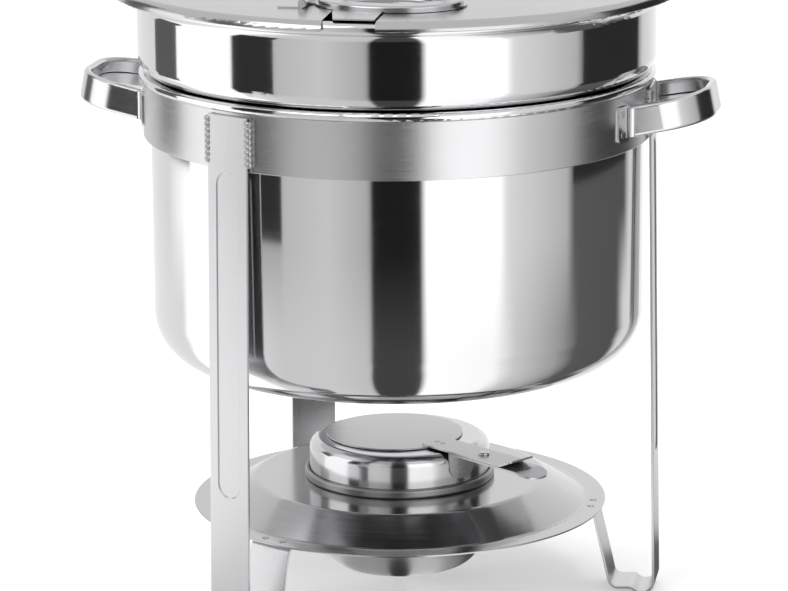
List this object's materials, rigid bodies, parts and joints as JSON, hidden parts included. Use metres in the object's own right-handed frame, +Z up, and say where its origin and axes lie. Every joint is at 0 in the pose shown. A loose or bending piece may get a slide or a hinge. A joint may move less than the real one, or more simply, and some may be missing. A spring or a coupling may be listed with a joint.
{
  "type": "soup kettle",
  "caption": "Round stainless soup kettle: lid with hinged ladle flap, soup insert and water pan in a ring stand on strip legs, over a fuel burner with a swinging snuffer.",
  "frame": {"origin": "on the floor, under the common axis of the pots", "axes": "+Z up; +X through the right-hand leg, 3 degrees behind the right-hand handle; -Y towards the lid's ladle slot"},
  "size_m": [0.3816, 0.3373, 0.4151],
  "materials": {
    "ring_brushed": "brushed round the ring",
    "leg_satin": "satin",
    "weld_bare": "bare weld, lightly cleaned",
    "handle_polished": "polished",
    "shelf_polished": "polished with fine turning marks",
    "pot_mirror": "mirror polished",
    "lid_satin": "satin",
    "burner_polished": "polished",
    "snuffer_brushed": "brushed",
    "rivet_bright": "satin"
  },
  "bodies": {
    "stand": {"stand_ring": "ring_brushed", "leg_right": "leg_satin", "leg_rear_left": "leg_satin", "leg_front_left": "leg_satin", "leg_welds": "weld_bare", "handle_right": "handle_polished", "handle_left": "handle_polished", "handle_spot_welds": "weld_bare", "burner_shelf": "shelf_polished", "shelf_spot_welds": "weld_bare"},
    "water_pan": {"water_pan": "pot_mirror"},
    "soup_insert": {"soup_insert": "pot_mirror"},
    "lid": {"lid_shell": "lid_satin", "lid_grip": "handle_polished", "grip_spot_welds": "weld_bare", "flap_hinge_leaf": "lid_satin", "flap_hinge_pin": "rivet_bright"},
    "ladle_flap": {"ladle_flap": "lid_satin"},
    "burner": {"burner_cup": "burner_polished"},
    "burner_cover": {"burner_cover": "burner_polished", "snuffer_bracket": "snuffer_brushed", "bracket_spot_welds": "weld_bare", "snuffer_rivet": "rivet_bright"},
    "snuffer": {"snuffer_disc": "snuffer_brushed", "snuffer_lever": "snuffer_brushed", "snuffer_spot_welds": "weld_bare"}
  },
  "joints": [
    {"name": "pan_lift", "type": "slide", "parent": "stand", "child": "water_pan", "axis": [0, 0, 1], "range_m": [0, 0.18]},
    {"name": "insert_lift", "type": "slide", "parent": "water_pan", "child": "soup_insert", "axis": [0, 0, 1], "range_m": [0, 0.21]},
    {"name": "lid_lift", "type": "slide", "parent": "soup_insert", "child": "lid", "axis": [0, 0, 1], "range_m": [0, 0.08]},
    {"name": "flap_hinge", "type": "hinge", "parent": "lid", "child": "ladle_flap", "pos_m": [-0.033, -0.107, 0.3718], "axis": [0, -1, 0], "range_deg": [0, 115]},
    {"name": "burner_lift", "type": "slide", "parent": "stand", "child": "burner", "axis": [0, 0, 1], "range_m": [0, 0.022]},
    {"name": "burner_cover_lift", "type": "slide", "parent": "burner", "child": "burner_cover", "axis": [0, 0, 1], "range_m": [0, 0.018]},
    {"name": "snuffer_swivel", "type": "hinge", "parent": "burner_cover", "child": "snuffer", "pos_m": [0.05752, -0.04494, 0.091], "axis": [0, 0, 1], "range_deg": [0, 75]}
  ]
}
